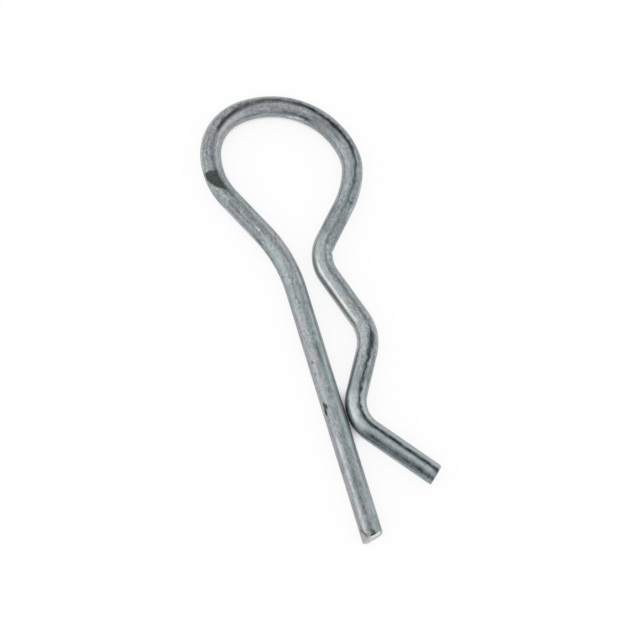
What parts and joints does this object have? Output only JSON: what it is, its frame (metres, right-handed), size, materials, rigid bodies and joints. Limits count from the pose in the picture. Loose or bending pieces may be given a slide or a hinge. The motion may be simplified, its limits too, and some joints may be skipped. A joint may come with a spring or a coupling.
{
  "type": "hitch r clip pin",
  "caption": "Hitch R-clip of round spring wire: a straight leg for a shaft's cross hole, a wavy leg that snaps round the shaft, and a bow to pull it by.",
  "frame": {"origin": "the shaft's centre: on the straight leg's axis, where the belly of the wavy leg stands over it", "axes": "+X along the straight leg towards its free tip, +Y in the plane of the clip towards the wavy leg, +Z square to the plane of the clip, up from the surface it lies on"},
  "size_m": [0.0874, 0.0298, 0.004],
  "materials": {
    "wire": "drawn spring steel wire with bright zinc plating, gone slightly grey, with fine lengthwise draw marks"
  },
  "bodies": {
    "root": {"r_clip": "wire"}
  },
  "joints": []
}
